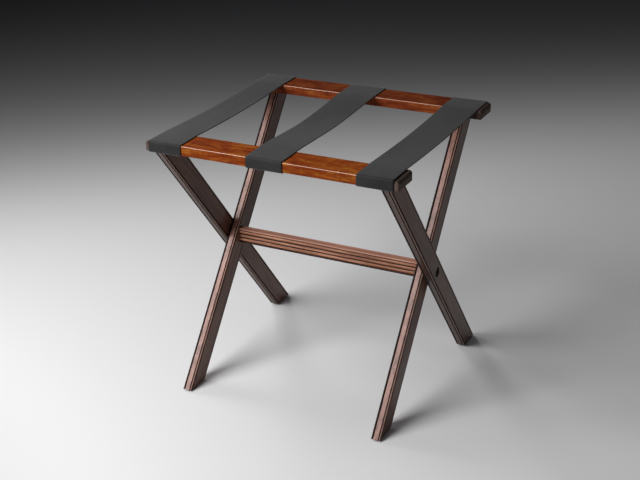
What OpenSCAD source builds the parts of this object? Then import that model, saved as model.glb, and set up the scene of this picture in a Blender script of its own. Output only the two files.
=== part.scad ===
// Folding luggage rack: two pairs of crossed legs, two flat rails, a reeded stretcher
// and three straps. X runs along the rails, Y from the front to the back, Z up from the
// floor. The origin is on the floor under the middle of the rack.

/* [Overall] */
// Length of each rail, the whole width of the rack
rail_l = 512; // [440:1:620]
// Depth over the outer edges of the two rails
frame_d = 466; // [400:1:540]
// Height of the rails' top above the floor
frame_h = 534; // [450:1:620]
// How far the pivots stand below the middle of the legs
pivot_drop = 1; // [-15:0.5:15]

/* [Rails] */
// Width of a rail, front to back
rail_w = 60; // [56:1:75]
// Thickness of a rail
rail_t = 19; // [17:0.5:25]
// Rounding along the long edges of a rail
rail_edge = 2; // [1:0.5:4]
// Rounding of a rail's corners, seen from above
rail_corner = 4; // [3:0.5:12]
// Rounding of a rail's top at its two ends
rail_nose = 8; // [3:0.5:8]

/* [Legs] */
// Width of a leg's wide face
leg_w = 43; // [38:0.5:46]
// Thickness of a leg
leg_t = 18.5; // [16:0.5:22]
// Distance from the rail's end to the outer leg
leg_inset = 17.5; // [10:0.5:24]
// Gap between an outer and an inner leg
leg_gap = 1.2; // [0.8:0.1:3]
// Radius of the bead along each corner of a leg
bead_r = 1.4; // [1.2:0.1:2.4]
// Width of the groove beside a bead
quirk_w = 2; // [1:0.1:3]

/* [Stretcher] */
// Height of the stretcher
bar_h = 31.5; // [30:0.5:38]
// Depth of the stretcher
bar_d = 17; // [16:0.5:24]
// Height of the plain margin above and below the reeds, with its bead
bar_margin = 3.6; // [3:0.1:5]
// Radius of the bead along each corner of the stretcher
bar_bead_r = 1.8; // [1.5:0.1:2]
// Radius of one reed of the stretcher
reed_r = 4.5; // [4.4:0.1:5]
// Reeds up each face of the stretcher
reed_count = 3; // [3:1:4]
// Depth of the valleys between the reeds
reed_depth = 2.2; // [1.6:0.1:2.4]
// Depth of the hollow between the beads along the stretcher's top and underside
bar_hollow = 0.7; // [0.4:0.1:1]

/* [Straps] */
// Width of a strap
strap_w = 71; // [60:1:76]
// Thickness of a strap
strap_t = 1.6; // [1.4:0.1:3]
// Distance from the rail's end to the outer straps
strap_inset = 9; // [4:0.5:16]
// How far a strap sags between the rails
strap_sag = 6.5; // [1:0.5:12]
// Length of a strap's tail under a rail
strap_tail = 26; // [22:1:32]
// How far the back end of the left strap stands to the left of its front end
slant_left = 6; // [0:1:8]
// How far the back end of the middle strap stands to the left of its front end
slant_middle = 11; // [0:1:20]
// Space between a strap and the wood or tack beside it
strap_clear = 0.3; // [0.3:0.05:0.6]

/* [Pivots] */
// Diameter of a pivot bolt
bolt_d = 6; // [5:0.5:8]
// Diameter of a pivot bolt's head
bolt_head_d = 13; // [11:0.5:15]
// Thickness of a pivot bolt's head
bolt_head_t = 3.2; // [2.5:0.1:4]
// Width across the flats of the bolt's hexagon socket
socket_af = 4; // [3:0.5:5]
// Depth of the bolt's hexagon socket
socket_depth = 1.8; // [1:0.1:2.2]
// Running clearance round a pivot bolt
bolt_clear = 0.05; // [0.02:0.01:0.1]
// Diameter of the recess for the bolt's head in an outer leg
recess_d = 19; // [18:0.5:22]
// Depth of that recess
recess_depth = 6.5; // [5:0.5:8]
// Diameter of the washer under the bolt's head
head_washer_d = 16.5; // [15:0.5:17.5]
// Thickness of the washer under the bolt's head
head_washer_t = 1.2; // [0.8:0.1:1.6]
// Diameter of the washer between two legs
pivot_washer_d = 24; // [18:1:30]
// Running clearance at each face of a washer
face_clear = 0.05; // [0.03:0.01:0.1]
// Outer diameter of the threaded insert in the stretcher's end
insert_d = 9; // [8:0.5:10]
// Length of the threaded insert
insert_l = 15; // [12:1:20]
// How far the bolt's tip stays inside the end of the insert
bolt_short = 1; // [0:0.5:4]

/* [Dowels, tacks and glides] */
// Diameter of the dowels between the legs and the rails
dowel_d = 8; // [6:0.5:9]
// Distance between the two dowels at the top of a leg
dowel_pitch = 20; // [16:1:22]
// How far a dowel reaches into a rail
dowel_in_rail = 16; // [10:1:17]
// How far a dowel reaches into a leg
dowel_in_leg = 30; // [20:1:40]
// Diameter of the pins between the stretcher and the inner legs
pin_d = 6; // [4:0.5:6]
// Distance between the two pins at each end of the stretcher
pin_pitch = 20; // [16:1:21]
// How far a pin reaches into a leg
pin_in_leg = 10; // [6:1:13]
// How far a pin reaches into the stretcher
pin_in_bar = 16; // [10:1:25]
// Diameter of a tack's shank
tack_d = 1.6; // [1.2:0.1:2]
// Diameter of a tack's head
tack_head_d = 7; // [5:0.5:9]
// Height of a tack's domed head
tack_head_t = 1.4; // [1:0.1:2]
// How far a tack reaches into a rail
tack_l = 9; // [6:0.5:12]
// Distance from a rail's outer edge to its row of tacks
tack_row = 16; // [12:0.5:18]
// Diameter of a foot glide
glide_d = 15; // [12:0.5:17]
// Thickness of a foot glide
glide_t = 3; // [2:0.5:5]
// Width of the bevel round the bottom of a glide
glide_bevel = 1.5; // [0.5:0.1:2.5]
// Height of that bevel
glide_rise = 1.2; // [0.5:0.1:1.8]
// Diameter of a glide's nail
nail_d = 2; // [1.5:0.1:3]
// Length of a glide's nail
nail_l = 14; // [8:1:18]

/* [Hidden] */

wood = [0.30, 0.20, 0.17];
rail_wood = [0.56, 0.27, 0.13];
reed_wood = [0.46, 0.28, 0.20];
leather = [0.25, 0.25, 0.25];
steel = [0.22, 0.21, 0.20];
brass = [0.72, 0.58, 0.32];
nylon = [0.85, 0.84, 0.80];
beech = [0.80, 0.66, 0.46];
plastic = [0.10, 0.10, 0.10];

rail_under = frame_h - rail_t;
rail_y = (frame_d - rail_w) / 2;
// Height of the pivots above the floor
pivot_h = (rail_under + glide_t) / 2 - pivot_drop;
leg_angle = atan(rail_y / (rail_under - pivot_h));
foot_y = (pivot_h - glide_t) * tan(leg_angle);
outer_x = rail_l / 2 - leg_inset - leg_t / 2;
inner_x = outer_x - leg_t - leg_gap;
bar_end = inner_x - leg_t / 2;
recess_floor = outer_x + leg_t / 2 - recess_depth;
bolt_head_x = recess_floor + 2 * face_clear + head_washer_t;
bolt_tip = bar_end - insert_l + bolt_short;
quirk_d = bead_r;
flat_margin = 2 * bead_r + quirk_w;
reed_pitch = (bar_h - 2 * bar_margin) / reed_count;
free_edge = frame_d / 2 - rail_w + rail_edge;
// Space between a leg's top and the strap tail that is cut away beside it
notch_gap = 0.8;
// Steps round each bend of a strap, and along its span
arc_steps = 6;
span_steps = 28;
// How far a cut runs past the surface that it opens
over = 1;
// How far joined shapes of one piece run into each other
joined = 0.2;

// Left edge of each strap at the front, and the shift of its back end
strap_starts = [-rail_l / 2 + strap_inset, -strap_w / 2, rail_l / 2 - strap_inset - strap_w];
strap_slants = [-slant_left, -slant_middle, 0];

// A strap's left edge at depth y
function strap_left_at(i, y) =
    strap_starts[i] + strap_slants[i] * min(1, max(0, y / frame_d + 0.5));

// The stretch of X that a strap's tail keeps beside the leg, at the front (-1) or back (1)
function tail_range(i, end) =
    let (left = strap_left_at(i, end * frame_d / 2), right = left + strap_w,
         leg = end < 0 ? outer_x : inner_x, out = leg + leg_t / 2 + notch_gap,
         in = leg - leg_t / 2 - notch_gap)
    i == 1 ? [left, right]
    : end < 0 ? (i == 0 ? [-in, right] : [left, in])
    : (i == 0 ? [left, -out] : [out, right]);

// Where the tacks of a tail stand along X
function tack_places(i, end) =
    let (r = tail_range(i, end), n = i == 1 ? 3 : 2, step = (r[1] - r[0]) / n)
    [for (k = [0:n - 1]) r[0] + step * (k + 0.5)];

// Sag of a strap at depth y: it leaves each rail level and dips in the middle
function sag_at(y) =
    abs(y) >= free_edge ? 0 : strap_sag * pow(cos(90 * y / free_edge), 2);

// The strap's lengthwise outline at a distance from the rails, as [y, z]
function corner(side, z, from, to, off) =
    [for (k = [0:arc_steps])
        let (a = from + (to - from) * k / arc_steps, r = rail_edge + off)
        [side * (frame_d / 2 - rail_edge + r * cos(a)), z + r * sin(a)]];
function outline(off) = concat(
    [[-frame_d / 2 + strap_tail, rail_under - off]],
    corner(-1, rail_under + rail_edge, -90, 0, off),
    corner(-1, frame_h - rail_edge, 0, 90, off),
    [for (k = [0:span_steps])
        let (y = -free_edge + 2 * free_edge * k / span_steps)
        [y, frame_h + off - sag_at(y)]],
    corner(1, frame_h - rail_edge, 90, 0, off),
    corner(1, rail_under + rail_edge, 0, -90, off),
    [[frame_d / 2 - strap_tail, rail_under - off]]);

module rounded(size, r) {
    square([size[0], size[1] - 2 * r], center = true);
    square([size[0] - 2 * r, size[1]], center = true);
    for (x = [-1, 1], y = [-1, 1])
        translate([x * (size[0] / 2 - r), y * (size[1] / 2 - r)]) circle(r, $fn = 32);
}

// A leg's section: flat faces between grooves, with a round bead along each corner
module leg_section() {
    square([leg_t - 2 * quirk_d, leg_w - 2 * quirk_d], center = true);
    square([leg_t, leg_w - 2 * flat_margin], center = true);
    square([leg_t - 2 * flat_margin, leg_w], center = true);
    for (x = [-1, 1], y = [-1, 1])
        translate([x * (leg_t / 2 - bead_r), y * (leg_w / 2 - bead_r)])
            circle(bead_r, $fn = 32);
}

// Puts a child's own Z along the legs of a frame, through the pivot at x
module along_leg(x, lean) {
    translate([x, 0, pivot_h]) rotate([lean * leg_angle, 0, 0]) children();
}

module leg(x, lean) {
    intersection() {
        along_leg(x, lean) translate([0, 0, -frame_h]) linear_extrude(2 * frame_h) leg_section();
        translate([x - leg_t, -frame_d, glide_t])
            cube([2 * leg_t, 2 * frame_d, rail_under - glide_t]);
    }
}

// The pair of dowel shapes where a leg meets its rail, measured from the rail's underside
module dowel_pair(x, lean, grow) {
    for (y = [-1, 1] * dowel_pitch / 2) {
        meet = (rail_under - pivot_h - lean * y * sin(leg_angle)) / cos(leg_angle);
        along_leg(x, lean) translate([0, y, meet - dowel_in_leg - grow])
            cylinder(d = dowel_d + 2 * grow, h = dowel_in_leg + dowel_in_rail + 2 * grow,
                     $fn = 32);
    }
}

// The pair of pin shapes between the stretcher and an inner leg
module pin_pair(side, grow) {
    for (z = [-1, 1])
        translate([side * (bar_end - pin_in_bar - grow), 0, pivot_h + z * pin_pitch / 2])
            rotate([0, side * 90, 0])
                cylinder(d = pin_d + 2 * grow, h = pin_in_bar + pin_in_leg + 2 * grow, $fn = 32);
}

// A rod along X from one x to another, on the pivot's axis
module pivot_rod(side, from, to, d) {
    translate([side * from, 0, pivot_h]) rotate([0, side * 90, 0])
        cylinder(d = d, h = to - from, $fn = 48);
}

module nail_hole(x, y) {
    translate([x, y, glide_t - over])
        cylinder(d = nail_d + 2 * face_clear, h = nail_l + over + face_clear, $fn = 24);
}

module tack_holes(end) {
    for (i = [0:2], x = tack_places(i, end))
        translate([x, end * (frame_d / 2 - tack_row), rail_under - over])
            cylinder(d = tack_d + 2 * face_clear, h = tack_l + over + face_clear, $fn = 24);
}

// A rail seen from the front: its top is rounded over at both ends
module nosed() {
    translate([-rail_l / 2 + rail_nose, 0]) square([rail_l - 2 * rail_nose, rail_t]);
    translate([-rail_l / 2, rail_edge]) square([rail_l, rail_t - rail_nose - rail_edge]);
    translate([-rail_l / 2 + rail_edge, 0]) square([rail_l - 2 * rail_edge, rail_t - rail_nose]);
    for (x = [-1, 1]) {
        translate([x * (rail_l / 2 - rail_nose), rail_t - rail_nose]) circle(rail_nose, $fn = 64);
        translate([x * (rail_l / 2 - rail_edge), rail_edge]) circle(rail_edge, $fn = 32);
    }
}

module rail(end) {
    difference() {
        intersection() {
            translate([-rail_l / 2, end * rail_y, frame_h - rail_t / 2])
                rotate([90, 0, 90]) linear_extrude(rail_l) rounded([rail_w, rail_t], rail_edge);
            translate([0, end * rail_y, rail_under - over])
                linear_extrude(rail_t + 2 * over) rounded([rail_l, rail_w], rail_corner);
            translate([0, end * rail_y + rail_w / 2 + over, rail_under])
                rotate([90, 0, 0]) linear_extrude(rail_w + 2 * over) nosed();
        }
        for (side = [-1, 1])
            dowel_pair(side * (end < 0 ? outer_x : inner_x), -end, face_clear);
        tack_holes(end);
    }
}

module front_rail() color(rail_wood) rail(-1);

module back_rail() color(rail_wood) rail(1);

module leg_outer(side) color(wood)
    difference() {
        leg(side * outer_x, 1);
        pivot_rod(side, outer_x - leg_t, outer_x + leg_t, bolt_d + 2 * bolt_clear);
        pivot_rod(side, recess_floor, outer_x + leg_t, recess_d);
        dowel_pair(side * outer_x, 1, face_clear);
        nail_hole(side * outer_x, foot_y);
    }

module leg_inner(side) color(wood)
    difference() {
        leg(side * inner_x, -1);
        pivot_rod(side, inner_x - leg_t, inner_x + leg_t, bolt_d + 2 * bolt_clear);
        dowel_pair(side * inner_x, -1, face_clear);
        pin_pair(side, face_clear);
        nail_hole(side * inner_x, -foot_y);
    }

// The stretcher's section: reeds up both faces, with a round bead along each corner
module stretcher_section() {
    square([bar_d - 2 * reed_depth, bar_h - 2 * bar_hollow], center = true);
    for (y = [-1, 1]) {
        for (k = [0:reed_count - 1])
            translate([y * (bar_d / 2 - reed_r), (k - (reed_count - 1) / 2) * reed_pitch])
                circle(reed_r, $fn = 48);
        for (z = [-1, 1])
            translate([y * (bar_d / 2 - bar_bead_r), z * (bar_h / 2 - bar_bead_r)])
                circle(bar_bead_r, $fn = 32);
    }
}

module stretcher() color(reed_wood)
    difference() {
        translate([-bar_end, 0, pivot_h]) rotate([90, 0, 90])
            linear_extrude(2 * bar_end) stretcher_section();
        for (side = [-1, 1]) {
            pivot_rod(side, bar_end - insert_l - face_clear, bar_end + over,
                      insert_d + 2 * face_clear);
            pin_pair(side, face_clear);
        }
    }

module strap(i) color(leather) {
    outer = outline(strap_clear + strap_t);
    inner = outline(strap_clear);
    count = len(outer);
    points = [for (k = [0:count - 1])
        let (l = strap_left_at(i, outer[k][0]), m = strap_left_at(i, inner[k][0]))
        each [[l, outer[k][0], outer[k][1]], [l + strap_w, outer[k][0], outer[k][1]],
              [m + strap_w, inner[k][0], inner[k][1]], [m, inner[k][0], inner[k][1]]]];
    last = 4 * count - 4;
    faces = concat(
        [[0, 1, 2], [0, 2, 3]],
        [for (k = [0:count - 2], s = [0:3])
            let (a = 4 * k + s, b = 4 * k + (s + 1) % 4)
            each [[a, b + 4, b], [a, a + 4, b + 4]]],
        [[last, last + 2, last + 1], [last, last + 3, last + 2]]);
    difference() {
        polyhedron(points, faces);
        for (end = [-1, 1]) {
            if (i != 1) tail_notch(i, end);
            for (x = tack_places(i, end))
                translate([x, end * (frame_d / 2 - tack_row), rail_under - 2 * strap_t])
                    cylinder(d = tack_d + 2 * strap_clear, h = 3 * strap_t, $fn = 16);
        }
    }
}

// Cuts a tail away where the top of a leg stands under the rail
module tail_notch(i, end) {
    r = tail_range(i, end);
    side = i == 0 ? -1 : 1;
    cut_left = end * side > 0 ? r[0] - strap_w : r[1];
    lip = frame_d / 2 - rail_y - leg_w / (2 * cos(leg_angle)) - notch_gap;
    y = end < 0 ? -frame_d / 2 + lip : frame_d / 2 - lip - strap_w;
    translate([cut_left, y, rail_under - 2 * strap_t]) cube([strap_w, strap_w, 2 * strap_t]);
}

module pivot_bolt(side) color(steel)
    difference() {
        union() {
            pivot_rod(side, bolt_tip, bolt_head_x + bolt_head_t / 2, bolt_d);
            pivot_rod(side, bolt_head_x, bolt_head_x + bolt_head_t, bolt_head_d);
        }
        translate([side * (bolt_head_x + bolt_head_t - socket_depth), 0, pivot_h])
            rotate([0, side * 90, 0])
                cylinder(d = socket_af / cos(30), h = 2 * socket_depth, $fn = 6);
    }

module ring(side, from, to, d) {
    difference() {
        pivot_rod(side, from, to, d);
        pivot_rod(side, from - over, to + over, bolt_d + 2 * bolt_clear);
    }
}

module head_washer(side) color(steel)
    ring(side, recess_floor + face_clear, recess_floor + face_clear + head_washer_t, head_washer_d);

module pivot_washer(side) color(nylon)
    ring(side, inner_x + leg_t / 2 + face_clear, outer_x - leg_t / 2 - face_clear, pivot_washer_d);

module insert(side) color(brass)
    ring(side, bar_end - insert_l, bar_end - face_clear, insert_d);

module bar_pins(side) color(beech) pin_pair(side, 0);

module dowels_front(side) color(beech) dowel_pair(side * outer_x, 1, 0);

module dowels_back(side) color(beech) dowel_pair(side * inner_x, -1, 0);

// Round-headed tacks that hold the strap tails under a rail
module tacks(end) color(steel) {
    head_top = rail_under - strap_t - 2 * strap_clear;
    head_r = (tack_head_d * tack_head_d / 4 + tack_head_t * tack_head_t) / (2 * tack_head_t);
    for (i = [0:2], x = tack_places(i, end))
        translate([x, end * (frame_d / 2 - tack_row), 0]) {
            translate([0, 0, head_top - joined])
                cylinder(d = tack_d, h = rail_under + tack_l - head_top + joined, $fn = 24);
            intersection() {
                translate([0, 0, head_top - tack_head_t + head_r]) sphere(head_r, $fn = 48);
                translate([0, 0, head_top - tack_head_t])
                    cylinder(d = tack_head_d, h = tack_head_t, $fn = 32);
            }
        }
}

// A foot glide with a bevelled rim and its nail
module glide(x, y) color(plastic)
    translate([x, y, 0]) {
        rotate_extrude($fn = 48)
            polygon([[0, 0], [glide_d / 2 - glide_bevel, 0], [glide_d / 2, glide_rise],
                     [glide_d / 2, glide_t - face_clear], [0, glide_t - face_clear]]);
        translate([0, 0, glide_t / 2]) cylinder(d = nail_d, h = glide_t / 2 + nail_l, $fn = 24);
    }

front_rail();
back_rail();
leg_outer(-1);  // leg_outer_left
leg_outer(1);  // leg_outer_right
leg_inner(-1);  // leg_inner_left
leg_inner(1);  // leg_inner_right
stretcher();
strap(0);  // strap_left
strap(1);  // strap_middle
strap(2);  // strap_right
pivot_bolt(-1);  // pivot_bolt_left
pivot_bolt(1);  // pivot_bolt_right
head_washer(-1);  // head_washer_left
head_washer(1);  // head_washer_right
pivot_washer(-1);  // pivot_washer_left
pivot_washer(1);  // pivot_washer_right
insert(-1);  // insert_left
insert(1);  // insert_right
bar_pins(-1);  // bar_pins_left
bar_pins(1);  // bar_pins_right
dowels_front(-1);  // dowels_front_left
dowels_front(1);  // dowels_front_right
dowels_back(-1);  // dowels_back_left
dowels_back(1);  // dowels_back_right
tacks(-1);  // tacks_front
tacks(1);  // tacks_back
glide(-outer_x, foot_y);  // glide_outer_left
glide(outer_x, foot_y);  // glide_outer_right
glide(-inner_x, -foot_y);  // glide_inner_left
glide(inner_x, -foot_y);  // glide_inner_right
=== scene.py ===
import bpy, math
from mathutils import Matrix, Vector, noise


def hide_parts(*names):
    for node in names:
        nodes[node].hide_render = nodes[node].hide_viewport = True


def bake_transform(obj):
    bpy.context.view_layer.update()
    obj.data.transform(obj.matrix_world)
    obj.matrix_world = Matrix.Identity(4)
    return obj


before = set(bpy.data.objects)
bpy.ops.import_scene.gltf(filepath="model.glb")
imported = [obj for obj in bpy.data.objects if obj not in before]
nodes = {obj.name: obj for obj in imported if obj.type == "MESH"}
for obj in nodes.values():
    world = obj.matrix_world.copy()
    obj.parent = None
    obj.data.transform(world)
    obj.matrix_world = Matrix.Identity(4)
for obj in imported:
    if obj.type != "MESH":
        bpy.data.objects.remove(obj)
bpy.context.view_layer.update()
print("frame loaded,", len(nodes), "nodes")

# the measures of the rack that the looks follow, in metres
rack = {"railTop": 0.534, "railThick": 0.019, "railWide": 0.060, "depth": 0.466,
        "railEdge": 0.002, "freeEdge": 0.175, "pivotHigh": 0.258, "legAngle": math.radians(38.3046),
        "legThick": 0.0185, "legWide": 0.043, "outerX": 0.22925, "innerX": 0.20955,
        "recess": 0.0095, "barDeep": 0.017}


# camera
view = {"place": (0.9529, -1.8701, 1.2460), "azimuth": 27.381, "elevation": 24.671,
        "roll": -1.355, "lens": 64.483}

cameraData = bpy.data.cameras.new("camera")
cameraData.lens, cameraData.sensor_width, cameraData.sensor_fit = view["lens"], 36, "HORIZONTAL"
camera = bpy.data.objects.new("camera", cameraData)
bpy.context.scene.collection.objects.link(camera)
camera.matrix_world = (Matrix.Translation(view["place"])
                       @ Matrix.Rotation(math.radians(view["azimuth"]), 4, "Z")
                       @ Matrix.Rotation(math.radians(90 - view["elevation"]), 4, "X")
                       @ Matrix.Rotation(math.radians(view["roll"]), 4, "Z"))
bpy.context.scene.camera = camera
print("camera set")


# shader helpers
class Wire:
    # a socket that takes part in sums: each sign adds its Math node
    def __init__(self, paint, socket):
        self.paint, self.socket = paint, socket

    def __add__(self, other):
        return self.paint.sum("ADD", self, other)

    def __radd__(self, other):
        return self.paint.sum("ADD", other, self)

    def __sub__(self, other):
        return self.paint.sum("SUBTRACT", self, other)

    def __rsub__(self, other):
        return self.paint.sum("SUBTRACT", other, self)

    def __mul__(self, other):
        return self.paint.sum("MULTIPLY", self, other)

    def __rmul__(self, other):
        return self.paint.sum("MULTIPLY", other, self)

    def __truediv__(self, other):
        return self.paint.sum("DIVIDE", self, other)

    def __abs__(self):
        return self.paint.sum("ABSOLUTE", self)


class Paint:
    def __init__(self, owner):
        owner.use_nodes = True
        self.owner, self.tree = owner, owner.node_tree
        self.tree.nodes.clear()

    # any node: its settings first, then the values or wires of its sockets
    def add(self, kind, settings={}, inputs={}, output=0):
        node = self.tree.nodes.new(kind)
        for key, value in settings.items():
            if key == "stops":
                ramp = node.color_ramp.elements
                while len(ramp) < len(value):
                    ramp.new(0.5)
                for stop, (at, tone) in zip(ramp, value):
                    stop.position, stop.color = at, (*tone, 1)
            else:
                setattr(node, key, value)
        for key, value in inputs.items():
            if isinstance(value, Wire):
                self.tree.links.new(value.socket, node.inputs[key])
            else:
                node.inputs[key].default_value = value
        return Wire(self, node.outputs[output]) if node.outputs else node

    def sum(self, operation, *values):
        return self.add("ShaderNodeMath", {"operation": operation}, dict(enumerate(values)))

    def place(self, kind="Object"):
        return self.add("ShaderNodeTexCoord", output=kind)

    def split(self, vector):
        parts = self.add("ShaderNodeSeparateXYZ", inputs={0: vector})
        return [Wire(self, socket) for socket in parts.socket.node.outputs]

    # object coordinates turned to lie along a leg
    def along(self, middle, angle):
        return self.add("ShaderNodeMapping", {"vector_type": "TEXTURE"},
                        {"Vector": self.place(), "Location": middle, "Rotation": (angle, 0, 0)})

    def cloud(self, vector, scale, detail=3, rough=0.55, twist=0, shift=(0, 0, 0)):
        spread = self.add("ShaderNodeMapping", inputs={"Vector": vector, "Scale": scale, "Location": shift})
        return self.add("ShaderNodeTexNoise", inputs={"Vector": spread, "Scale": 1,
                        "Detail": detail, "Roughness": rough, "Distortion": twist})

    # 0 below low, 1 above high, smooth between
    def rise(self, value, low, high):
        return self.add("ShaderNodeMapRange", {"interpolation_type": "SMOOTHSTEP"},
                        {"Value": value, "From Min": low, "From Max": high})

    def mix(self, factor, first, second):
        tones = [tone if isinstance(tone, Wire) else (*tone, 1) for tone in (first, second)]
        return self.add("ShaderNodeMix", {"data_type": "RGBA"},
                        {0: factor, 6: tones[0], 7: tones[1]}, output=2)

    def ramp(self, factor, stops):
        return self.add("ShaderNodeValToRGB", {"stops": stops}, {0: factor})

    def bump(self, height, distance, strength):
        return self.add("ShaderNodeBump", inputs={"Height": height, "Distance": distance,
                                                  "Strength": strength})

    # the surface itself: wires for what varies, plain numbers for the rest
    def surface(self, **sockets):
        shader = self.add("ShaderNodeBsdfPrincipled",
                          inputs={key.replace("_", " "): value for key, value in sockets.items()})
        self.add("ShaderNodeOutputMaterial", inputs={"Surface": shader})
        return self.owner


def coat(material, *names):
    for name in names:
        slots = nodes[name].material_slots
        if not slots:
            nodes[name].data.materials.append(material)
        for slot in slots:
            slot.material = material


# wood of the legs: a brown stain, dark glaze left in the grooves; painted light on the narrow faces and beads
# that face the soft box, painted shade in the pivot recess and on the outer legs' narrow faces
legWood = {"grain": [(0.30, (0.040, 0.014, 0.008)), (0.48, (0.100, 0.040, 0.024)),
                     (0.70, (0.21, 0.098, 0.060))],
           "pore": (0.05, 0.016, 0.007), "glaze": (0.0030, 0.0016, 0.0012),
           "bead": (0.016, 0.006, 0.004), "beadHighlight": (0.20, 0.125, 0.095), "wornAndLit": (0.42, 0.20, 0.155),
           "grooveFrom": 0.0002, "grooveTo": 0.0007, "beadWide": 0.0030, "gloss": 0.42, "coat": 0.36}


def legPaint(name, x, lean, hole, narrowLight, narrowShade):
    paint = Paint(bpy.data.materials.new(name))
    local = paint.along((x, 0, rack["pivotHigh"]), lean * rack["legAngle"])
    across, deep, long = paint.split(local)
    inset = paint.sum("MINIMUM", rack["legThick"] / 2 - abs(across), rack["legWide"] / 2 - abs(deep))
    sunk = paint.rise(inset, legWood["grooveFrom"], legWood["grooveTo"])
    # painted shade: inside the counterbore round the pivot the wood is darkened to the glaze tone
    recess = paint.rise(paint.sum("SQRT", deep * deep + long * long), hole + 0.0006, hole)
    groove = paint.sum("MAXIMUM", sunk, recess)
    margin = paint.sum("MAXIMUM", rack["legThick"] / 2 - abs(across), rack["legWide"] / 2 - abs(deep))
    bead = paint.rise(margin, legWood["beadWide"] + 0.0006, legWood["beadWide"])
    narrow = paint.rise(rack["legWide"] / 2 - abs(deep), 0.0008, 0.0004)
    streak = paint.cloud(local, (330, 330, 11), 4, 0.6, 0.5, (x * 40, lean, 0))
    patch = paint.cloud(local, (26, 26, 8), 3, 0.5, 0.3, (lean * 3, x * 9, 0))
    pore = paint.cloud(local, (1900, 1900, 75), 2, 0.5)
    wear = paint.cloud(local, (90, 90, 34), 4, 0.65, shift=(x * 70, 5, lean))
    tone = paint.ramp(streak * 0.62 + patch * 0.38, legWood["grain"])
    tone = paint.mix(paint.rise(pore, 0.56, 0.70) * 0.45, tone, legWood["pore"])
    # the beads of one side carry a painted highlight, those of the other are dark
    highlightSide = paint.rise(across, -0.001, 0.001)
    tone = paint.mix(bead * 0.85, tone, paint.mix(highlightSide, legWood["bead"], legWood["beadHighlight"]))
    # painted light: the narrow faces that face the soft box and the highlighted beads are lightened, broken
    # up by a wear pattern; how much is given per leg
    lit = narrow * (1 - bead * (1 - highlightSide))
    tone = paint.mix(lit * narrowLight * (0.25 + 0.75 * paint.rise(wear, 0.32, 0.60)), tone, legWood["wornAndLit"])
    # painted shade: the narrow faces of the outer legs are darkened to the dark bead tone
    tone = paint.mix(narrow * (1 - bead) * narrowShade, tone, legWood["bead"])
    tone = paint.mix(groove * (0.94 + 0.06 * wear), tone, legWood["glaze"])
    speck = paint.rise(pore, 0.58, 0.68)
    tone = paint.mix(speck * narrow * 0.6, tone, legWood["bead"])
    height = streak * 0.5 - paint.rise(pore, 0.54, 0.68) * 0.5
    return paint.surface(Base_Color=tone, Roughness=legWood["gloss"] + 0.16 * patch + 0.35 * groove,
                         Specular_IOR_Level=0.25, Coat_Roughness=0.2,
                         Coat_Weight=legWood["coat"] * (0.55 + 0.9 * patch) * (1 - groove) * (1 - 0.7 * speck)
                         * (1 - 0.75 * bead),
                         Normal=paint.bump(height, 0.00012, 0.6))


sides = {"left": -1, "right": 1}
for side, sign in sides.items():
    coat(legPaint("leg_wood_outer_" + side, sign * rack["outerX"], 1, rack["recess"], 0.05, 0.55),
         "leg_outer_" + side)
    coat(legPaint("leg_wood_inner_" + side, sign * rack["innerX"], -1, 0, 0.8, 0),
         "leg_inner_" + side)
print("legs painted")


# wood of the rails: glossy orange brown, streaked along the rail, brown at the ends
railWood = {"front": [(0.35, (0.125, 0.017, 0.003)), (0.45, (0.205, 0.036, 0.006)),
                      (0.54, (0.265, 0.056, 0.008)), (0.66, (0.44, 0.165, 0.022))],
            # the back rail: the same wood in darker tones, painted shade
            "back": [(0.36, (0.080, 0.013, 0.004)), (0.46, (0.140, 0.025, 0.007)),
                     (0.54, (0.185, 0.041, 0.010)), (0.66, (0.27, 0.080, 0.018))],
            "pore": (0.07, 0.012, 0.004), "low": (0.06, 0.012, 0.006), "frontLow": 0.2, "backLow": 0.0,
            "ends": (0.15, 0.105, 0.088), "endsDark": (0.060, 0.040, 0.033), "endTo": 0.2510,
            "frontBand": (0.012, 0.008, 0.006), "frontFrom": 0.2445,
            "backBand": (0.050, 0.026, 0.021), "backFrom": 0.2350,
            "gloss": 0.30, "shine": 0.03, "coat": 0.01, "edgeCoat": 0.8, "edgeHighlight": (0.80, 0.50, 0.34)}


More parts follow.
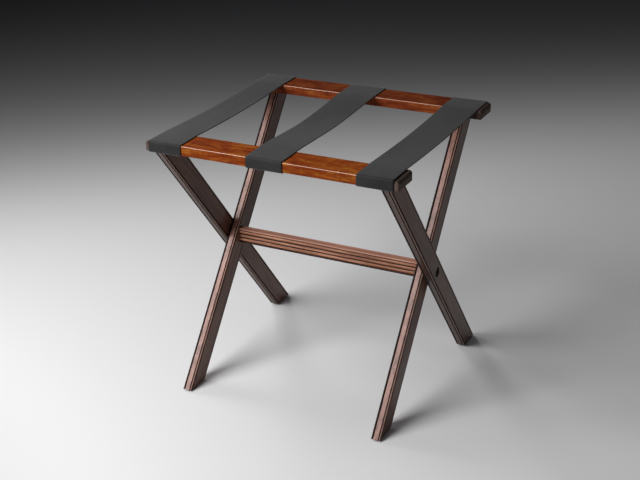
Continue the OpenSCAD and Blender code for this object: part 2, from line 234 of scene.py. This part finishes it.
def railPaint(name, side, shift, frontY):
    paint = Paint(bpy.data.materials.new(name))
    place = paint.place()
    x, y, z = paint.split(place)
    flame = paint.cloud(place, (13, 48, 48), 5, 0.6, 1.2, (shift, shift, 0))
    streak = paint.cloud(place, (18, 300, 300), 4, 0.6, 0.6, (shift, 0, 0))
    pore = paint.cloud(place, (85, 2200, 2200), 2, 0.5)
    curl = paint.cloud(place, (95, 24, 24), 2, 0.4, 0.6, (0, shift, 0))
    tone = paint.ramp(0.5 + 1.2 * (flame * 0.55 + streak * 0.33 + curl * 0.12 - 0.5), railWood[side])
    tone = paint.mix(paint.rise(pore, 0.56, 0.70) * 0.5, tone, railWood["pore"])
    # painted shade: the faces below the top of the front rail are darkened towards the low tone
    face = paint.rise(z, rack["railTop"] - 0.0005, rack["railTop"] - 0.002)
    tone = paint.mix(face * railWood[side + "Low"], tone, railWood["low"])
    # the polish gathers along the rounded edge at the front of the top, and a painted highlight lightens its
    # colour there
    near = abs(y - frontY) + abs(z - rack["railTop"])
    edge = paint.rise(near, rack["railEdge"] * 0.8, rack["railEdge"] * 0.6)
    tone = paint.mix(edge * 0.3, tone, railWood["edgeHighlight"])
    # beyond the straps a painted shadow of the strap, then brown matt wood; both start sooner on the face
    # than on the top
    out = abs(x) + 0.001 * streak + 0.003 * paint.rise(z, rack["railTop"] - 0.002, rack["railTop"] - 0.005)
    start = railWood[side + "From"]
    tone = paint.mix(paint.rise(out, start, start + 0.001), tone, railWood[side + "Band"])
    end = paint.rise(out, railWood["endTo"] - 0.0015, railWood["endTo"])
    tone = paint.mix(end, tone, paint.mix(streak, railWood["ends"], railWood["endsDark"]))
    return paint.surface(Base_Color=tone, Roughness=railWood["gloss"] + 0.12 * streak,
                         Specular_IOR_Level=railWood["shine"], Coat_Roughness=0.09,
                         Coat_Weight=(railWood["coat"] + (railWood["edgeCoat"] - railWood["coat"]) * edge)
                         * paint.rise(out, start + 0.001, start),
                         Normal=paint.bump(streak * 0.6 - paint.rise(pore, 0.54, 0.68) * 0.4, 0.00008, 0.5))


coat(railPaint("rail_wood_front", "front", 3.1, -rack["depth"] / 2), "front_rail")
coat(railPaint("rail_wood_back", "back", 7.7, rack["depth"] / 2 - rack["railWide"]), "back_rail")
print("rails painted")


# wood of the stretcher: lighter reeds, glaze in the valleys, painted light on the top and painted shade along
# the underside
barWood = {"reed": [(0.34, (0.14, 0.043, 0.021)), (0.5, (0.36, 0.135, 0.070)), (0.66, (0.72, 0.36, 0.22))],
           "top": (0.66, 0.33, 0.24), "pore": (0.07, 0.022, 0.010), "glaze": (0.010, 0.0032, 0.0016),
           "grooveFrom": 0.0003, "grooveTo": 0.0013, "topFrom": 0.0132, "topTo": 0.0140,
           "underFrom": 0.0118, "underTo": 0.0128, "gloss": 0.40, "coat": 0.22}


def barPaint(name):
    paint = Paint(bpy.data.materials.new(name))
    place = paint.place()
    x, y, z = paint.split(place)
    high = z - rack["pivotHigh"]
    # painted shade: the underside of the stretcher is darkened to the glaze tone
    under = paint.rise(high, -barWood["underFrom"], -barWood["underTo"])
    groove = paint.rise(rack["barDeep"] / 2 - abs(y), barWood["grooveFrom"], barWood["grooveTo"])
    groove = paint.sum("MAXIMUM", under, groove * paint.rise(high, barWood["topTo"], barWood["topFrom"]))
    streak = paint.cloud(place, (13, 360, 360), 4, 0.6, 0.5, (1.3, 0, 0))
    patch = paint.cloud(place, (11, 60, 60), 3, 0.5, 0.3, (4, 2, 0))
    pore = paint.cloud(place, (80, 2000, 2000), 2, 0.5)
    tone = paint.ramp(streak * 0.6 + patch * 0.4, barWood["reed"])
    tone = paint.mix(paint.rise(pore, 0.56, 0.70) * 0.4, tone, barWood["pore"])
    # painted light: the top of the stretcher is lightened to the pale top tone
    tone = paint.mix(paint.rise(high, barWood["topFrom"], barWood["topTo"]) * 0.7, tone, barWood["top"])
    tone = paint.mix(groove * (0.88 + 0.12 * patch), tone, barWood["glaze"])
    return paint.surface(Base_Color=tone, Roughness=barWood["gloss"] + 0.14 * patch + 0.2 * groove,
                         Specular_IOR_Level=0.22, Coat_Roughness=0.2,
                         Coat_Weight=barWood["coat"] * (1 - 0.9 * groove),
                         Normal=paint.bump(streak * 0.5 - paint.rise(pore, 0.54, 0.68) * 0.5, 0.00012, 0.6))


coat(barPaint("stretcher_wood"), "stretcher")
print("stretcher painted")


# leather straps: one flat band each, over both rails and tacked underneath
strap = {"wide": 0.072, "thick": 0.0016, "clear": 0.0003, "tail": 0.026, "lip": 0.0031,
         "columns": 18, "spanSteps": 36, "topSteps": 8, "arcSteps": 6, "tailSteps": 5,
         "edgeRound": 0.0005, "cup": 0.0008, "ripple": 0.0006, "droop": 16, "droopFrom": 0.243,
         # the two edges at the front and at the back, the loss of width between them, the sag and how
         # pointed its curve is, and where the tails end beside the legs
         "left": {"front": (-0.2470, -0.1772), "back": (-0.2545, -0.1860), "waist": 0.0015,
                  "sag": 0.0047, "curve": 1.0, "frontKeeps": (-0.2192, None), "backKeeps": (None, -0.2196)},
         "middle": {"front": (-0.0400, 0.0335), "back": (-0.0510, 0.0262), "waist": 0.0030,
                    "sag": 0.0066, "curve": 1.5, "frontKeeps": (None, None), "backKeeps": (None, None)},
         "right": {"front": (0.1768, 0.2460), "back": (0.1760, 0.2480), "waist": 0.0010,
                   "sag": 0.0047, "curve": 1.0, "frontKeeps": (None, 0.2192), "backKeeps": (0.2196, None)}}


# half of the way of a strap's middle layer, from the free edge of the rail's top to the tail's end:
# distances out from the middle of the rack and heights, and the step at which the full width ends
def strapWay():
    lift = strap["clear"] + strap["thick"] / 2
    bend = rack["railEdge"] + lift
    outer = rack["depth"] / 2
    low = rack["railTop"] - rack["railThick"]
    way = []
    for i in range(strap["topSteps"]):
        way.append((rack["freeEdge"] + (outer - rack["railEdge"] - rack["freeEdge"]) * i / strap["topSteps"],
                    rack["railTop"] + lift))
    for middle, turn in ((rack["railTop"] - rack["railEdge"], 0), (low + rack["railEdge"], 90)):
        for i in range(strap["arcSteps"] + 1):
            angle = math.radians(turn + 90 * i / strap["arcSteps"])
            way.append((outer - rack["railEdge"] + bend * math.sin(angle), middle + bend * math.cos(angle)))
        if turn == 0:
            way += [(outer + lift, low + rack["railEdge"] + (rack["railThick"] - 2 * rack["railEdge"]) * t)
                    for t in (0.75, 0.5, 0.25)]
    way.append((outer - strap["lip"], low - lift))
    lip = len(way) - 1
    for i in range(strap["tailSteps"]):
        way.append((outer - strap["lip"] - (strap["tail"] - strap["lip"]) * (i + 1) / strap["tailSteps"],
                    low - lift))
    return way, lip


# the middle and the width of a strap at a depth y
def strapLine(facts, y):
    part = min(1, max(0, y / rack["depth"] + 0.5))
    left, right = (front + (back - front) * part for front, back in zip(facts["front"], facts["back"]))
    loose = math.cos(math.pi / 2 * min(1, abs(y) / rack["freeEdge"])) ** 2
    return (left + right) / 2, right - left - facts["waist"] * loose


def spanHeight(facts, y):
    sag = facts["sag"] * math.cos(math.pi / 2 * y / rack["freeEdge"]) ** facts["curve"]
    return rack["railTop"] + strap["clear"] + strap["thick"] / 2 - sag


def selectOnly(piece, test):
    bpy.ops.mesh.select_mode(type="VERT")
    bpy.ops.mesh.select_all(action="DESELECT")
    bpy.ops.object.mode_set(mode="OBJECT")
    for vertex in piece.data.vertices:
        vertex.select = test(vertex.co)
    bpy.ops.object.mode_set(mode="EDIT")
    bpy.ops.mesh.select_mode(type="EDGE")


def makeStrap(name):
    facts = strap[name]
    half, lip = strapWay()
    steps = strap["spanSteps"]
    span = [-rack["freeEdge"] + 2 * rack["freeEdge"] * i / steps for i in range(1, steps)]

    def spot(y, z):
        return Vector((strapLine(facts, y)[0], y, z))

    start, first = spot(-half[0][0], half[0][1]), spot(span[0], spanHeight(facts, span[0]))

    # the first short piece of the span, then row after row to both tails
    bpy.ops.object.select_all(action="DESELECT")
    bpy.ops.mesh.primitive_grid_add(x_subdivisions=strap["columns"], y_subdivisions=1, size=1,
                                    location=(start + first) / 2)
    piece = bpy.context.object
    piece.name = "strap_" + name + "_leather"
    bpy.ops.object.mode_set(mode="EDIT")
    bpy.ops.transform.resize(value=(strap["wide"], (first - start).length, 1))
    bpy.ops.object.mode_set(mode="OBJECT")
    bpy.ops.object.transform_apply(location=True, rotation=True, scale=True)
    middleY = (start.y + first.y) / 2
    for vertex in piece.data.vertices:
        end = start if vertex.co.y < middleY else first
        vertex.co = (vertex.co.x - (start.x + first.x) / 2 + end.x, end.y, end.z)
    bpy.ops.object.mode_set(mode="EDIT")

    def extend(places):
        for before, after in zip(places, places[1:]):
            bpy.ops.mesh.extrude_region_move(TRANSFORM_OT_translate={"value": after - before})

    for sign in (-1, 1):
        way = [spot(sign * y, z) for y, z in half]
        if sign < 0:
            selectOnly(piece, lambda co: co.y < middleY)
            extend(way[:lip + 1])
        else:
            selectOnly(piece, lambda co: co.y > middleY and co.z > 0.5)
            extend([first] + [spot(y, spanHeight(facts, y)) for y in span[1:]] + way[:lip + 1])
        # beside a leg the tail is cut narrower
        low, high = facts["frontKeeps" if sign < 0 else "backKeeps"]
        column = strap["wide"] / strap["columns"]
        left = way[lip].x - strap["wide"] / 2
        kept = [left if low is None else left + column * round((low - left) / column),
                left + strap["wide"] if high is None else left + column * round((high - left) / column)]
        selectOnly(piece, lambda co: (co - Vector((co.x, way[lip].y, way[lip].z))).length < 1e-5
                   and kept[0] - 1e-4 < co.x < kept[1] + 1e-4)
        extend(way[lip:])
        shift = (low - kept[0] if low else 0, high - kept[1] if high else 0)
        for edge, move in zip(kept, shift):
            if move:
                selectOnly(piece, lambda co: abs(co.x - edge) < 1e-4 and abs(co.z - way[lip].z) < 1e-5
                           and sign * co.y < sign * way[lip].y - 1e-5)
                bpy.ops.transform.translate(value=(move, 0, 0))
    bpy.ops.object.mode_set(mode="OBJECT")
    return piece


def softenStrap(piece, name):
    facts = strap[name]
    free = rack["freeEdge"]
    uv = piece.data.uv_layers.new(name="strapMap")
    spots = {}
    for vertex in piece.data.vertices:
        co = vertex.co
        middle, wide = strapLine(facts, co.y)
        across = (co.x - middle) / strap["wide"] + 0.5
        spots[vertex.index] = (across, co.y)
        co.x = middle + (across - 0.5) * wide
        # between the rails the band cups a little and is never quite even
        loose = max(0, 1 - (co.y / free) ** 2) if abs(co.y) < free else 0
        wave = noise.noise(Vector((across * 2.2 + middle * 31, co.y * 9, 3.3)))
        co.z += loose * (strap["cup"] * (4 * (across - 0.5) ** 2 - 0.33) + strap["ripple"] * wave)
        # an outer edge droops over the rounded end of the rail
        past = abs(co.x) - strap["droopFrom"]
        if past > 0 and co.z > rack["railTop"] - rack["railThick"]:
            out = max(0, abs(co.y) - rack["depth"] / 2 + rack["railEdge"])
            up = max(0, co.z - rack["railTop"] + rack["railEdge"]) + (1e-4 if out == 0 else 0)
            fall = strap["droop"] * past ** 2 / (math.hypot(out, up) or 1)
            co.y -= math.copysign(out, co.y) * fall
            co.z -= up * fall
    for loop in piece.data.loops:
        uv.data[loop.index].uv = spots[loop.vertex_index]


def thicken(piece):
    bpy.ops.object.select_all(action="DESELECT")
    piece.select_set(True)
    bpy.context.view_layer.objects.active = piece
    wall = piece.modifiers.new("wall", "SOLIDIFY")
    wall.thickness, wall.offset, wall.use_even_offset = strap["thick"], 0, True
    edge = piece.modifiers.new("edge", "BEVEL")
    edge.width, edge.segments = strap["edgeRound"], 3
    edge.limit_method, edge.angle_limit = "ANGLE", math.radians(55)
    for modifier in ("wall", "edge"):
        bpy.ops.object.modifier_apply(modifier=modifier)
    bpy.ops.object.shade_smooth_by_angle(angle=math.radians(50))


leather = {"tone": (0.026, 0.026, 0.026), "dark": (0.015, 0.015, 0.015), "wornAndLit": (0.036, 0.035, 0.034),
           "edge": (0.004, 0.004, 0.004), "foldShade": (0.010, 0.010, 0.010), "pit": (0.010, 0.010, 0.010),
           "grain": 900, "rough": 0.58}


def leatherPaint(name):
    paint = Paint(bpy.data.materials.new(name))
    place = paint.place()
    uv = paint.place("UV")
    across, along, spare = paint.split(uv)
    side = paint.rise(abs(across - 0.5) * strap["wide"] * 2, strap["wide"] - 0.0024, strap["wide"] - 0.0004)
    pebble = paint.add("ShaderNodeTexVoronoi", {"feature": "SMOOTH_F1"},
                       {"Vector": place, "Scale": leather["grain"], "Smoothness": 0.45})
    crease = paint.cloud(place, (260, 170, 260), 5, 0.6, 1.2)
    cloudy = paint.cloud(place, (16, 11, 16), 3, 0.5, 0.4)
    tone = paint.mix(paint.rise(cloudy, 0.3, 0.7), leather["dark"], leather["tone"])
    tone = paint.mix(paint.rise(crease, 0.58, 0.80) * 0.5, tone, leather["wornAndLit"])
    tone = paint.mix(paint.rise(pebble, 0.5, 0.75) * 0.4, tone, leather["pit"])
    # painted shade: where the strap turns down over the outer edges of the rails and runs underneath it is
    # darkened
    foldShade = paint.rise(abs(along), rack["depth"] / 2 - 0.007, rack["depth"] / 2 + 0.001)
    tone = paint.mix(foldShade * 0.4, tone, leather["foldShade"])
    tone = paint.mix(side, tone, leather["edge"])
    height = paint.rise(pebble, 0.65, 0.2) * 0.6 + crease * 0.7
    return paint.surface(Base_Color=tone, Roughness=leather["rough"] + 0.10 * crease - 0.12 * side,
                         Specular_IOR_Level=0.2, Sheen_Weight=0.22, Sheen_Roughness=0.4,
                         Normal=paint.bump(height, 0.00015, 0.7))


leatherFinish = leatherPaint("strap_leather")
half, lip = strapWay()
lengths = [math.dist(a, b) for a, b in zip(half, half[1:])]
strapLong = 2 * (sum(lengths) + rack["freeEdge"])
for name in ("left", "middle", "right"):
    piece = makeStrap(name)
    softenStrap(piece, name)
    thicken(piece)
    piece.data.materials.append(leatherFinish)
    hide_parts("strap_" + name)
    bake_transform(piece)
print("straps made, cut length", round(strapLong, 4))


# small parts
def metalPaint(name, tone, rough, dull):
    paint = Paint(bpy.data.materials.new(name))
    place = paint.place()
    brush = paint.cloud(place, (900, 2700, 2700), 3)
    stain = paint.cloud(place, (180, 180, 180), 4, 0.6)
    colour = paint.mix(paint.rise(stain, 0.40, 0.68) * 0.7, tone, dull)
    return paint.surface(Base_Color=colour, Metallic=1.0 - 0.25 * paint.rise(stain, 0.5, 0.75),
                         Roughness=rough + 0.18 * stain, Normal=paint.bump(brush, 0.00004, 0.5))


def plasticPaint(name, tone, dark, rough):
    paint = Paint(bpy.data.materials.new(name))
    place = paint.place()
    moulded = paint.cloud(place, (1500, 1500, 1500), 3)
    scuff = paint.cloud(place, (240, 240, 90), 4, 0.65)
    colour = paint.mix(paint.rise(scuff, 0.45, 0.72), tone, dark)
    return paint.surface(Base_Color=colour, Roughness=rough + 0.16 * scuff,
                         Normal=paint.bump(moulded, 0.00005, 0.6))


def dowelPaint(name):
    paint = Paint(bpy.data.materials.new(name))
    place = paint.place()
    grain = paint.cloud(place, (700, 700, 90), 4, 0.6)
    colour = paint.ramp(grain, [(0.3, (0.42, 0.27, 0.14)), (0.7, (0.62, 0.44, 0.26))])
    return paint.surface(Base_Color=colour, Roughness=0.5 + 0.2 * grain,
                         Normal=paint.bump(grain, 0.0001, 0.6))


coat(metalPaint("dark_steel", (0.045, 0.044, 0.042), 0.42, (0.02, 0.018, 0.016)),
     "pivot_bolt_left", "pivot_bolt_right", "head_washer_left", "head_washer_right",
     "tacks_front", "tacks_back")
coat(metalPaint("brass", (0.72, 0.50, 0.22), 0.28, (0.36, 0.22, 0.09)), "insert_left", "insert_right")
coat(plasticPaint("nylon", (0.62, 0.60, 0.55), (0.46, 0.44, 0.40), 0.42),
     "pivot_washer_left", "pivot_washer_right")
coat(plasticPaint("glide_plastic", (0.030, 0.027, 0.025), (0.055, 0.050, 0.046), 0.45),
     *("glide_" + leg + "_" + side for leg in ("outer", "inner") for side in sides))
coat(dowelPaint("pale_wood"), *(kind + "_" + side for kind in ("bar_pins", "dowels_front", "dowels_back")
                                for side in sides))
print("small parts painted")


# studio: pale floor that darkens away from the camera, a large soft box in front, a weak one behind
studio = {"lamps": {"front": {"place": (-0.97, -1.45, 1.6), "aim": (0, 0, 0.3),
                              "size": (1.3, 1.5), "power": 52.5},
                    "back": {"place": (-2.1, 1.2, 2.0), "aim": (0, 0, 0.4),
                             "size": (0.8, 0.8), "power": 16}},
          "sky": {"low": (0.05, 0.05, 0.052), "high": (0.08, 0.08, 0.083), "seen": (0.012, 0.012, 0.0125)},
          "floor": {"near": (0.87, 0.87, 0.875), "far": (0.054, 0.055, 0.058), "halfWay": 1.40,
                    "steep": 4.8, "lean": 0.25, "dark": (0.45, 0.45, 0.455),
                    "underLamp": (1.25, 0.35), "under": (0.22, 0.22, 0.222)}}

bpy.ops.object.select_all(action="DESELECT")
bpy.ops.mesh.primitive_plane_add(size=24, location=(0, 0, -0.0002))
floor = bpy.context.object
floor.name = "floor"
floorPaint = Paint(bpy.data.materials.new("floor_paper"))
place = floorPaint.place()
x, y, z = floorPaint.split(place)
facts = studio["floor"]
turned = math.radians(view["azimuth"])
away = y * math.cos(turned) - x * math.sin(turned)
aside = x * math.cos(turned) + y * math.sin(turned)
tooth = floorPaint.cloud(place, (700, 700, 700), 2)
shade = floorPaint.rise(aside, -0.3, 0.45) * floorPaint.rise(away, 0.08, -0.08)
shade = shade * floorPaint.rise(away, -0.42, -0.2)
# the floor goes from near to far with a power of the distance, and is half way at halfWay
distance = floorPaint.sum("MAXIMUM", away - facts["lean"] * aside, 0) / facts["halfWay"]
fall = floorPaint.sum("POWER", distance, facts["steep"])
tone = floorPaint.mix(fall / (1 + fall), facts["near"], facts["far"])
# right under the large soft box the floor is toned down, so that it doesn't clip
lampX, lampY, lampZ = studio["lamps"]["front"]["place"]
fromLamp = floorPaint.sum("SQRT", (x - lampX) * (x - lampX) + (y - lampY) * (y - lampY))
tone = floorPaint.mix(floorPaint.rise(fromLamp, *facts["underLamp"]), tone, facts["under"])
floor.data.materials.append(floorPaint.surface(
    Base_Color=floorPaint.mix(shade * 0.34, tone, facts["dark"]),
    Roughness=0.85, Specular_IOR_Level=0.2, Normal=floorPaint.bump(tooth, 0.0001, 0.2)))

for name, box in studio["lamps"].items():
    lampData = bpy.data.lights.new("soft_box_" + name, "AREA")
    lampData.shape, lampData.energy = "RECTANGLE", box["power"]
    lampData.size, lampData.size_y = box["size"]
    lamp = bpy.data.objects.new("soft_box_" + name, lampData)
    bpy.context.scene.collection.objects.link(lamp)
    lamp.location = box["place"]
    lamp.rotation_euler = (Vector(box["aim"]) - lamp.location).to_track_quat("-Z", "Y").to_euler()

world = bpy.data.worlds.new("studio")
bpy.context.scene.world = world
sky = Paint(world)
x, y, z = sky.split(sky.place("Generated"))
glow = sky.mix(sky.rise(z, 0.1, 0.9), studio["sky"]["low"], studio["sky"]["high"])
glow = sky.mix(sky.add("ShaderNodeLightPath", output="Is Camera Ray"), glow, studio["sky"]["seen"])
sky.add("ShaderNodeOutputWorld", inputs={"Surface": sky.add("ShaderNodeBackground", inputs={"Color": glow})})
bpy.context.scene.view_settings.view_transform = "Standard"
print("studio set")
